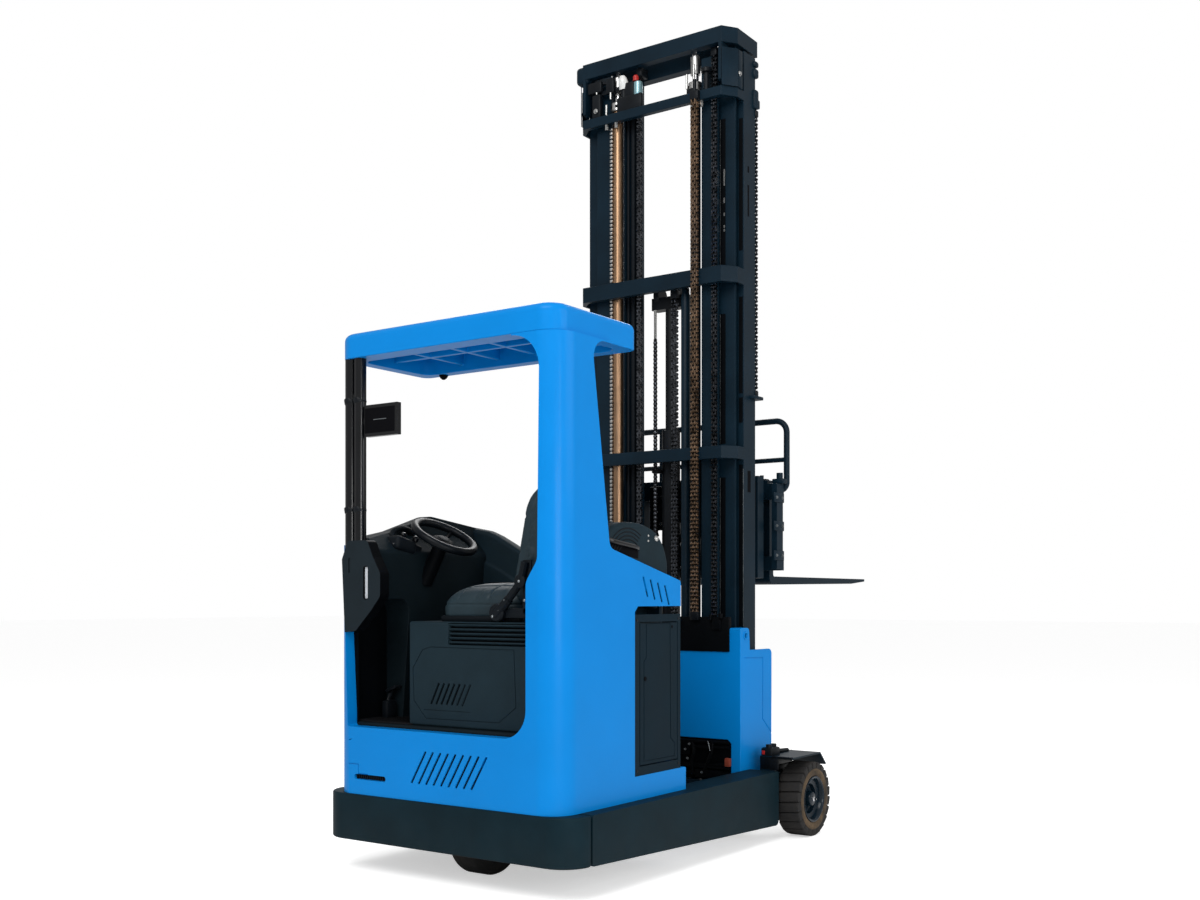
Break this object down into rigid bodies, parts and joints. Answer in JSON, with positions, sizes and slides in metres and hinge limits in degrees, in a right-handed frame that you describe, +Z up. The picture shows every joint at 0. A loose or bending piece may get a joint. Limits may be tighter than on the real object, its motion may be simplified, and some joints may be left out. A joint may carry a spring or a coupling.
{
  "type": "reach truck",
  "caption": "Sit-on reach truck: moving mast between two straddle legs, forks on a tilting frame, half-open driver's cab with an overhead guard.",
  "frame": {"origin": "on the floor, midway between the rear bumper and the fork tips, on the centre line", "axes": "+X towards the fork tips, +Y to the truck's left, +Z up"},
  "size_m": [3.21, 1.48, 3.815],
  "materials": {
    "blue_paint": "satin gloss azure blue",
    "dark_paint": "satin blue-black",
    "black_machine": "satin black",
    "gloss_black": "gloss black",
    "dark_cover": "fine textured charcoal",
    "cab_plastic": "grained charcoal plastic",
    "floor_rubber": "ribbed mat",
    "seat_vinyl": "stitched vinyl",
    "tyre_rubber": "dusty black",
    "rim_paint": "gloss blue-black",
    "chromed_rod": "polished"
  },
  "bodies": {
    "chassis": {"base_frame": "dark_paint", "rear_bumper": "dark_paint", "left_leg": "dark_paint", "right_leg": "dark_paint", "left_mudguard": "dark_paint", "right_mudguard": "dark_paint", "rear_panel": "blue_paint", "right_side": "blue_paint", "left_side": "blue_paint", "roof": "blue_paint", "left_post": "gloss_black", "rear_display": "gloss_black", "right_cover": "dark_cover", "left_cover": "dark_cover", "front_bulkhead": "black_machine", "battery": "black_machine", "cab_floor": "floor_rubber", "seat_box": "cab_plastic", "deck": "cab_plastic", "seat_cushion": "seat_vinyl", "seat_back": "seat_vinyl", "side_cowl": "cab_plastic", "dashboard": "cab_plastic", "steering_column": "black_machine", "pedals": "black_machine", "reach_barrels": "black_machine"},
    "right_door": {"right_door": "dark_cover"},
    "left_door": {"left_door": "dark_cover"},
    "steering_wheel": {"steering_wheel": "cab_plastic"},
    "drive_unit": {"drive_fork": "black_machine", "drive_motor": "black_machine"},
    "drive_wheel": {"drive_tyre": "tyre_rubber", "drive_hub": "rim_paint"},
    "left_wheel": {"left_tyre": "tyre_rubber", "left_rim": "rim_paint"},
    "right_wheel": {"right_tyre": "tyre_rubber", "right_rim": "rim_paint"},
    "reach_carriage": {"carriage_cover": "blue_paint", "left_cheek": "blue_paint", "right_cheek": "blue_paint", "reach_frame": "dark_paint", "reach_rods": "chromed_rod", "mast_outer": "dark_paint", "lift_barrels": "black_machine"},
    "middle_mast": {"mast_middle": "dark_paint", "lift_rods": "chromed_rod"},
    "inner_mast": {"mast_inner": "dark_paint", "free_lift_barrel": "black_machine"},
    "lift_head": {"free_lift_head": "chromed_rod"},
    "lift_carriage": {"lift_carriage": "black_machine", "tilt_barrels": "black_machine"},
    "tilt_rods": {"tilt_rods": "chromed_rod"},
    "fork_frame": {"fork_frame": "dark_paint", "left_fork": "dark_paint", "right_fork": "dark_paint", "load_rest": "dark_paint"}
  },
  "joints": [
    {"name": "left_wheel_roll", "type": "hinge", "parent": "chassis", "child": "left_wheel", "pos_m": [0.221, 0.68, 0.174], "axis": [0, 1, 0], "continuous": true},
    {"name": "right_wheel_roll", "type": "hinge", "parent": "chassis", "child": "right_wheel", "pos_m": [0.221, -0.68, 0.174], "axis": [0, 1, 0], "continuous": true},
    {"name": "drive_steer", "type": "hinge", "parent": "chassis", "child": "drive_unit", "pos_m": [-1.305, 0, 0.1715], "axis": [0, 0, 1], "range_deg": [-95, 95]},
    {"name": "drive_wheel_roll", "type": "hinge", "parent": "drive_unit", "child": "drive_wheel", "pos_m": [-1.305, 0, 0.1715], "axis": [0, 1, 0], "continuous": true},
    {"name": "steering_wheel_turn", "type": "hinge", "parent": "chassis", "child": "steering_wheel", "pos_m": [-1.225, 0.3, 1.385], "axis": [0, -0.5, 0.866], "continuous": true},
    {"name": "right_door_swing", "type": "hinge", "parent": "chassis", "child": "right_door", "pos_m": [-0.775, -0.583, 0.74], "axis": [0, 0, 1], "range_deg": [0, 110]},
    {"name": "left_door_swing", "type": "hinge", "parent": "chassis", "child": "left_door", "pos_m": [-0.775, 0.583, 0.74], "axis": [0, 0, -1], "range_deg": [0, 110]},
    {"name": "reach", "type": "slide", "parent": "chassis", "child": "reach_carriage", "axis": [-1, 0, 0], "range_m": [0, 0.58]},
    {"name": "mast_lift", "type": "slide", "parent": "reach_carriage", "child": "middle_mast", "axis": [0, 0, 1], "range_m": [0, 2.2]},
    {"name": "inner_lift", "type": "slide", "parent": "middle_mast", "child": "inner_mast", "axis": [0, 0, 1], "range_m": [0, 2.2]},
    {"name": "free_lift", "type": "slide", "parent": "inner_mast", "child": "lift_head", "axis": [0, 0, 1], "range_m": [-0.56, 0.6]},
    {"name": "carriage_lift", "type": "slide", "parent": "lift_head", "child": "lift_carriage", "axis": [0, 0, 1], "range_m": [-0.56, 0.6]},
    {"name": "fork_tilt", "type": "hinge", "parent": "lift_carriage", "child": "fork_frame", "pos_m": [0.307, 0, 1.668], "axis": [0, -1, 0], "range_deg": [-3, 5]},
    {"name": "tilt_rod_slide", "type": "slide", "parent": "lift_carriage", "child": "tilt_rods", "axis": [1, 0, 0], "range_m": [-0.018, 0.029]}
  ],
  "couplings": [
    {"joint": "inner_lift", "follows": "mast_lift", "ratio": 1},
    {"joint": "carriage_lift", "follows": "free_lift", "ratio": 1},
    {"joint": "tilt_rod_slide", "follows": "fork_tilt", "m_per_rad": 0.308}
  ]
}
